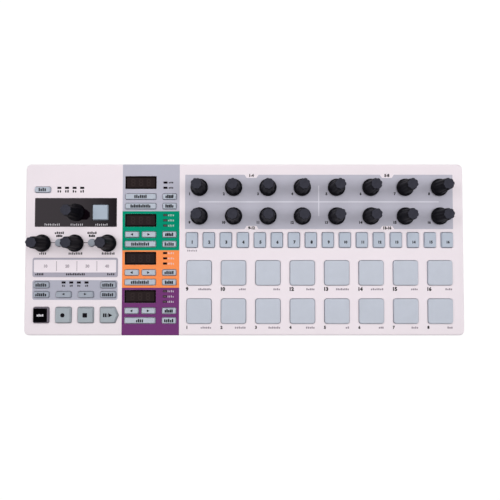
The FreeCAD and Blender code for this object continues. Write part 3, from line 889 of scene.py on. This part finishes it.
screw_pieces()
foot_pieces()
jack_rims()


# Printed fields

key_gap = 0.47
window_gap = 0.12
window_radius = 0.6
lamp_margin = 0.08
lamp_hole_radius = 0.1

lamp_solids = [span(points) for points in solids("indicator_leds")]
lamp_top = box_mm("indicator_leds")[1].z
window_solids = sorted((span(points) for points in solids("display_windows")), key=lambda w: -w[0][1])


def hole(middle, size, radius, gap, steps):
    """The outline of a bare place, a gap wider than what stands in it."""
    return rounded(inset(rectangle(middle, size, radius), -gap), steps)


def holes_within(low, high):
    """The bare places inside a field: keys of the column and the left block, windows and lamps."""
    holes = [hole(*cap[:2], small_key_radius, key_gap, 4) for cap in caps("column_keys")]
    holes += [hole(*cap[:2], left_key_radius, key_gap, 4) for cap in caps("left_keys")]
    holes += [hole(middle, size, window_radius, window_gap, 3) for middle, size in window_solids]
    holes += [rounded(rectangle(middle, (size[0] + lamp_margin, size[1] + lamp_margin), lamp_hole_radius), 2)
              for middle, size in lamp_solids]
    inside = []
    for outline in holes:
        (x, y), _ = span(outline)
        if low[0] < x < high[0] and low[1] < y < high[1]:
            inside.append(outline)
    return inside


column_left = -114.5
column_right = -60.9
section_edges = [35.9, -0.9, -35.9]
edge_round = 1.8
wrap_angle = math.radians(75)
wrap_steps = 8
flat_rear = cover_high.y - edge_round
flat_front = cover_low.y + edge_round


def edge_wrap(ink_name, side):
    """The colour field carried over the rounded edge at the rear or the front."""
    centre_y = side * flat_rear
    centre_z = panel_top - edge_round
    profile = []
    for radius, order in ((edge_round + ink_rise, 1), (edge_round - ink_sink, -1)):
        arc = [wrap_angle * step / wrap_steps for step in range(wrap_steps + 1)][::order]
        profile += [(centre_y + side * radius * math.sin(a), centre_z + radius * math.cos(a)) for a in arc]
    rings = [[(x, y, z) for y, z in profile] for x in (column_left, column_right)]
    skin(print_shape("case", ink_name), rings)


def field(ink_name, low, high, radius):
    """A rectangle of ink on the panel, bare at the keys, windows and lamps inside it."""
    low, high = Vector(low), Vector(high)
    outline = rounded(rectangle((low + high) / 2, high - low, radius))
    area("case", ink_name, [outline] + holes_within(low, high), panel_top)


def column_fields():
    """Four coloured sections, one in front of the other."""
    edges = [flat_rear] + section_edges + [flat_front]
    for name, high, low in zip(section_colours, edges, edges[1:]):
        field(name, (column_left, low), (column_right, high), 0.0)
    edge_wrap("grey", 1)
    edge_wrap("purple", -1)


panel_low = Vector((-55.7, 19.1))
panel_high = Vector((196.1, 70.4))
panel_radius = 0.5
tab_xs = [6.8, 134.3]
tab_wide = 13.2
tab_narrow = 9.4
tab_depth = 3.0
tab_outer_radius = 0.8
tab_inner_radius = 1.0
tab_numbers = ["1-4", "5-8", "9-12", "13-16"]
tab_number_ys = (panel_high.y - 0.7, panel_low.y + 1.1)
tab_number_tall = 2.9
bushing_hole_radius = 4.35
divider_wide = 0.9
long_divider_place = (70.1, 44.75)
long_divider = 225.6
short_divider_place = (70.0, 45.7)
short_divider = 28.9
knob_number_shift = Vector((-9.3, -5.9))
knob_number_tall = 2.7


def tab(x, edge, inwards):
    """The corners of a bite out of the panel's edge, from left to right."""
    deep = edge + inwards * tab_depth
    return [(x - tab_wide / 2, edge, tab_outer_radius), (x - tab_narrow / 2, deep, tab_inner_radius),
            (x + tab_narrow / 2, deep, tab_inner_radius), (x + tab_wide / 2, edge, tab_outer_radius)]


def encoder_panel():
    """The grey field under the sixteen knobs, with bites for numbers and fine white dividers."""
    front_left, front_right, rear_right, rear_left = rectangle(
        (panel_low + panel_high) / 2, panel_high - panel_low, panel_radius)
    front = [corner for x in tab_xs for corner in tab(x, panel_low.y, 1)]
    rear = [corner for x in reversed(tab_xs) for corner in reversed(tab(x, panel_high.y, -1))]
    corners = [front_left] + front + [front_right, rear_right] + rear + [rear_left]
    holes = [circle(knob_places[name], bushing_hole_radius) for name in knob_names]
    area("case", "panel_ink", [rounded(corners)] + holes, panel_top)
    bar("case", "divider_ink", long_divider_place, (long_divider, divider_wide), rise=upper_rise)
    bar("case", "divider_ink", short_divider_place, (divider_wide, short_divider), rise=top_rise)
    tab_places = [(x, y) for y in tab_number_ys for x in tab_xs]
    for text, place in zip(tab_numbers, tab_places):
        numeral("case", "dark_ink", text, place, tab_number_tall)
    for i, name in enumerate(knob_names):
        place = Vector(knob_places[name]) + knob_number_shift
        numeral("case", "dark_ink", str(i + 1), place, knob_number_tall, rise=upper_rise)


strip_low, strip_high = box_mm("touch_strip")
cells_low = Vector((-197.0, -21.6))
cells_high = Vector((-120.0, -9.7))
cells_radius = 1.0
strip_dividers = [-175.8, -156.7, -138.0]
strip_divider_wide = 0.55
strip_divider_gap = 1.3
strip_number_shift = 0.5
strip_number_tall = 3.0
strip_marks = {-191.8: 8.0, -158.0: 18.0, -124.9: 7.4}
strip_mark_y = -23.2
edit_block_ys = (-47.2, -28.8)
edit_block_radius = 1.9


def strip_prints():
    """The touch strip's pale field in four cells, numbered, over a grey band with marks."""
    height = strip_high.z
    middle = (cells_low + cells_high) / 2
    size = cells_high - cells_low
    area("case", "strip_ink", [rounded(rectangle(middle, size, cells_radius))], height)
    for x in strip_dividers:
        bar("case", "faint_ink", (x, middle.y), (strip_divider_wide, size.y - 2 * strip_divider_gap), height,
            upper_rise)
    cells = [cells_low.x] + strip_dividers + [cells_high.x]
    for i, (left, right) in enumerate(zip(cells, cells[1:])):
        place = ((left + right) / 2 + strip_number_shift, middle.y)
        numeral("case", "faint_ink", f"{i + 1}0", place, strip_number_tall, height, upper_rise, 0.5)
    for seed, (x, wide) in enumerate(strip_marks.items()):
        levels("case", "dark_ink", (x, strip_mark_y), wide, 2.1, seed, height, stroke=1.1)


column_fields()
encoder_panel()
strip_prints()
# Under the six small keys of the left block
field("block_ink", (strip_low.x, edit_block_ys[0]), (strip_high.x, edit_block_ys[1]), edit_block_radius)


# Numbers and signs

# Strokes at the lamps: ink, place beside the lamp, width, height and width of a stroke
lamp_mark_kinds = {
    "grey section": ("dark_ink", (5.2, 0.0), 4.6, 1.6, 1.1),
    "coloured section": ("white_ink", (5.4, 0.0), 6.4, 1.9, 0.52),
    "rear": ("dark_ink", (0.0, -3.2), 4.1, 2.4, level_stroke),
    "front": ("dark_ink", (0.0, -3.0), 3.2, 1.7, level_stroke),
}
pale_sections = (1, 3)
pale_margins = (0.9, 0.7)


def lamp_marks():
    """Strokes at each lamp, and a paler face on the lamps of the green and purple sections."""
    for (x, y), size in lamp_solids:
        in_column = x > column_left
        section = sum(y < edge for edge in section_edges)
        if in_column:
            kind = "coloured section" if section else "grey section"
        else:
            kind = "rear" if y > 0 else "front"
        ink_name, (across, up), wide, tall, stroke = lamp_mark_kinds[kind]
        levels("case", ink_name, (x + across, y + up), wide, tall, round(y if in_column else x),
               rise=upper_rise, stroke=stroke)
        if in_column and section in pale_sections:
            face = (size[0] - pale_margins[0], size[1] - pale_margins[1])
            bar("case", "pale_lamp", (x, y), face, lamp_top)


left_mark_tall = 2.3
knob_mark_wides = (7.0, 13.4, 12.4)
knob_mark_drop = 9.6
round_key_marks = {9.4: 9.0, 6.6: 6.0}
link_thick = 0.5
link_shift = 0.2
link_knob_gap = 7.6
link_key_gap = 0.4
tempo_marks = {-180.6: 15.0, -157.5: 12.2, -134.3: 12.2}
tempo_mark_rise = 2.1


def left_marks():
    """Strokes round the knobs and keys of the left block, and lines from knobs to round keys."""
    small_knobs = [knob_places[name] for name in small_knob_names]
    for seed, ((x, y), wide) in enumerate(zip(small_knobs, knob_mark_wides)):
        levels("case", "dark_ink", (x, y - knob_mark_drop), wide, left_mark_tall, seed, stroke=1.0)
    round_caps = [cap for cap in caps("left_keys") if is_round(cap)]
    for seed, ((x, y), size, _) in enumerate(round_caps):
        for row, (up, wide) in enumerate(round_key_marks.items()):
            levels("case", "dark_ink", (x, y + up), wide, left_mark_tall, seed + 5 * row, stroke=1.3)
        start = small_knobs[seed][0] + link_knob_gap
        end = x - size[0] / 2 - link_key_gap
        bar("case", "dark_ink", ((start + end) / 2, y + link_shift), (end - start, link_thick))
    low, high = box_mm("tempo_window")
    for seed, (x, wide) in enumerate(tempo_marks.items()):
        levels("case", "white_ink", (x, low.y + tempo_mark_rise), wide, 1.9, seed + 2, high.z, stroke=0.6)


pads_in_a_row = 8
bare_pad = "pad_11"
pad_number_drop = 3.6
pad_number_talls = (3.0, 3.7)
pad_number_shift = 1.1
digit_share = 1.35
pad_mark_drop = 3.8
pad_mark_wides = [10.2, 10.4, 11.2, 8.4, 3.6, 4.8, 6.5, 5.2, 12.4, 6.6, 6.6, 8.0, 12.4, 12.0, 6.6, 6.6]


def pad_marks():
    """A bold number in front of each pad but one, and a paler row of strokes to its right."""
    for i, (name, wide) in enumerate(zip(pad_names, pad_mark_wides)):
        (x, y), (across, deep), _ = caps(name)[0]
        front = y - deep / 2
        text = str(i + 1)
        if name != bare_pad:
            place = (x - across / 2 - pad_number_shift + digit_share * len(text), front - pad_number_drop)
            numeral("case", "dark_ink", text, place, pad_number_talls[i // pads_in_a_row])
        place = (x + across / 2 - wide / 2, front - pad_mark_drop)
        levels("case", "light_ink", place, wide, 1.9, i)
    x, y = caps("step_keys")[0][0]
    levels("case", "light_ink", (x + 0.2, y - 9.9), 9.6, 1.7, 3, stroke=0.9)


step_number_shift = Vector((0.5, -2.0))
step_number_talls = (3.1, 2.7)


def step_key_numbers():
    """A number on each step key, a little smaller when it has two digits."""
    for i, (middle, _, rise) in enumerate(caps("step_keys")):
        text = str(i + 1)
        place = Vector(middle) + step_number_shift
        numeral("step_keys", "dark_ink", text, place, step_number_talls[len(text) - 1], panel_top + rise)


# Wide keys of the column, counted from the front, and the widths of their marks
wide_key_marks = {0: 7.0, 5: 17.0, 10: 17.0, 15: 19.0, 17: 12.0}
side_keys_from = -85
left_arrows_to = -100


def column_key_marks():
    """Arrows on the paired keys, rows of strokes on the others."""
    for i, ((x, y), _, rise) in enumerate(caps("column_keys")):
        height = panel_top + rise
        if i in wide_key_marks:
            levels("column_keys", "dark_ink", (x, y), wide_key_marks[i], 3.2, i, height, stroke=1.25)
        elif x > side_keys_from:
            levels("column_keys", "dark_ink", (x, y), 9.0 if i % 2 else 7.8, 3.3, i, height, stroke=1.3)
        else:
            arrow("column_keys", (x, y), (2.4, 2.6), "left" if x < left_arrows_to else "right", height)


left_key_arrows = {1: "left", 2: "right"}
left_key_mark_wide = 10.6
sync_key_mark_wide = 7.4


def left_key_marks():
    """Rows of strokes on the outer keys and arrows on the two in the middle."""
    found = [cap for cap in caps("left_keys") if not is_round(cap)]
    wides = [left_key_mark_wide] * (len(found) - 1) + [sync_key_mark_wide]
    for i, (((x, y), _, rise), wide) in enumerate(zip(found, wides)):
        height = panel_top + rise
        if i in left_key_arrows:
            arrow("left_keys", (x, y + 0.5), (2.7, 2.0), left_key_arrows[i], height)
        else:
            levels("left_keys", "dark_ink", (x, y), wide, 3.2, i, height, stroke=1.25)


record_radius = 2.0
stop_size = (4.2, 4.1)
stop_radius = 0.4
play_marks_shift = 1.2
pause_bars = (-3.1, -1.2)
pause_bar_size = (1.5, 3.5)
slash = [(-0.1, -1.9), (0.3, -1.9), (1.3, 1.9), (0.9, 1.9)]
slash_radius = 0.05
play_arrow_shift = 3.1
play_arrow_size = (3.7, 3.9)


def transport_marks():
    """A dot, a square, and bars with a stroke and an arrow; white strokes on the shift key."""
    record, stop, play = caps("transport_keys")
    height = panel_top + record[2]
    area("transport_keys", "dark_ink", [circle(record[0], record_radius)], height)
    bar("transport_keys", "dark_ink", stop[0], stop_size, height, radius=stop_radius)
    x = play[0][0] - play_marks_shift
    y = play[0][1]
    for shift in pause_bars:
        bar("transport_keys", "dark_ink", (x + shift, y), pause_bar_size, height)
    outline = rounded([(x + across, y + up, slash_radius) for across, up in slash], 2)
    area("transport_keys", "dark_ink", [outline], height)
    arrow("transport_keys", (x + play_arrow_shift, y), play_arrow_size, "right", height)
    middle, _, rise = caps("shift_key")[0]
    levels("shift_key", "white_ink", middle, 6.6, 2.2, 4, panel_top + rise)


face_border = 1.3
face_radius = 0.5
face_rise = 0.02
segment_rise = 0.035
segment_wide = 0.7
segment_radius = 0.2
digit_tall = 6.4
digit_wide = 3.6
digit_pitch = 7.2


def display_faces():
    """A paler face inside each smoked window, with the faint shapes of three unlit digits."""
    flat_size = (digit_wide - 2 * segment_wide, segment_wide)
    upright_size = (segment_wide, digit_tall / 2 - segment_wide)
    flat_reach = (digit_tall - segment_wide) / 2
    upright_reach = (digit_wide - segment_wide) / 2
    segments = [(0, side * flat_reach, flat_size) for side in (-1, 0, 1)]
    segments += [(side * upright_reach, end * digit_tall / 4, upright_size)
                 for side in (-1, 1) for end in (-1, 1)]
    for (x, y), size in window_solids:
        face = rectangle((x, y), (size[0] - 2 * face_border, size[1] - 2 * face_border), face_radius)
        area("case", "display", [rounded(face, 3)], panel_top, face_rise)
        for digit in (-1, 0, 1):
            for across, up, segment_size in segments:
                place = (x + digit * digit_pitch + across, y + up)
                bar("case", "segment", place, segment_size, panel_top, segment_rise, segment_radius)


lamp_marks()
left_marks()
pad_marks()
step_key_numbers()
column_key_marks()
left_key_marks()
transport_marks()
display_faces()

for (print_body, print_ink), print_mesh in prints.items():
    bmesh.ops.remove_doubles(print_mesh, verts=print_mesh.verts, dist=1e-5)
    piece(f"{print_body}_{print_ink}_print", print_mesh, [print_ink], print_body)


# Floor, light and camera

def floor():
    """A white floor that keeps a light shadow."""
    bpy.ops.mesh.primitive_plane_add(size=floor_size, location=(0, 0, -floor_drop))
    made = bpy.context.object
    made.name = "floor"
    material = bpy.data.materials.new("floor")
    material.use_nodes = True
    tree = material.node_tree
    diffuse = tree.nodes["Principled BSDF"]
    fill(diffuse, Base_Color=floor_grey, Roughness=floor_roughness)
    white = add_node(tree, "Emission", Strength=floor_white_level)
    path = add_node(tree, "LightPath")
    share = add_node(tree, "Math")
    share.operation = "MULTIPLY"
    share.inputs[1].default_value = floor_share_of_white
    link(path, "Is Camera Ray", share, 0)
    mixed = add_node(tree, "MixShader")
    link(share, 0, mixed, "Fac")
    link(diffuse, 0, mixed, 1)
    link(white, 0, mixed, 2)
    link(mixed, 0, tree.nodes["Material Output"], "Surface")
    made.data.materials.append(material)


def world():
    """Even light from all round, a white backdrop, and reflections that are bright only at the left."""
    made = bpy.data.worlds.new("studio")
    bpy.context.scene.world = made
    made.use_nodes = True
    tree = made.node_tree
    path = add_node(tree, "LightPath")
    last = tree.nodes["Background"]
    fill(last, Color=white_light, Strength=world_level)
    where = add_node(tree, "TexCoord")
    parts = add_node(tree, "SeparateXYZ")
    link(where, "Generated", parts, "Vector")
    fade = add_node(tree, "MapRange", From_Min=reflected_from, From_Max=reflected_to,
                    To_Min=reflected_left, To_Max=reflected_right)
    fade.interpolation_type = "SMOOTHSTEP"
    link(parts, "X", fade, "Value")
    reflected = add_node(tree, "Background")
    link(fade, "Result", reflected, "Strength")
    backdrop = add_node(tree, "Background", Color=white_light)
    for ray, shown in (("Is Glossy Ray", reflected), ("Is Camera Ray", backdrop)):
        mixed = add_node(tree, "MixShader")
        link(path, ray, mixed, "Fac")
        link(last, 0, mixed, 1)
        link(shown, 0, mixed, 2)
        last = mixed
    link(last, 0, tree.nodes["World Output"], "Surface")


def soft_light(name, place, size, power):
    """A square light that faces the origin. Reflections come from the world alone."""
    lamp = bpy.data.lights.new(name, "AREA")
    lamp.shape = "SQUARE"
    lamp.size = size
    lamp.energy = power
    made = placed(name, lamp)
    made.location = place
    made.rotation_euler = (-made.location).to_track_quat("-Z", "Y").to_euler()
    made.visible_glossy = False


def lights():
    soft_light("top_light", top_light_place, top_light_size, top_light_power)
    for side, power in zip((-1, 1), side_light_powers):
        soft_light("side_light", (side * side_light_reach, top_light_place[1], side_light_height),
                   side_light_size, power)


def camera():
    lens = bpy.data.cameras.new("camera")
    lens.lens = camera_lens
    lens.sensor_width = camera_sensor
    lens.shift_x = camera_shift
    lens.clip_start = 0.01
    made = placed("camera", lens)
    made.location = camera_place
    made.rotation_euler = (math.radians(camera_tilt), 0, 0)
    bpy.context.scene.camera = made


floor()
world()
lights()
camera()
bpy.context.scene.view_settings.view_transform = "Standard"
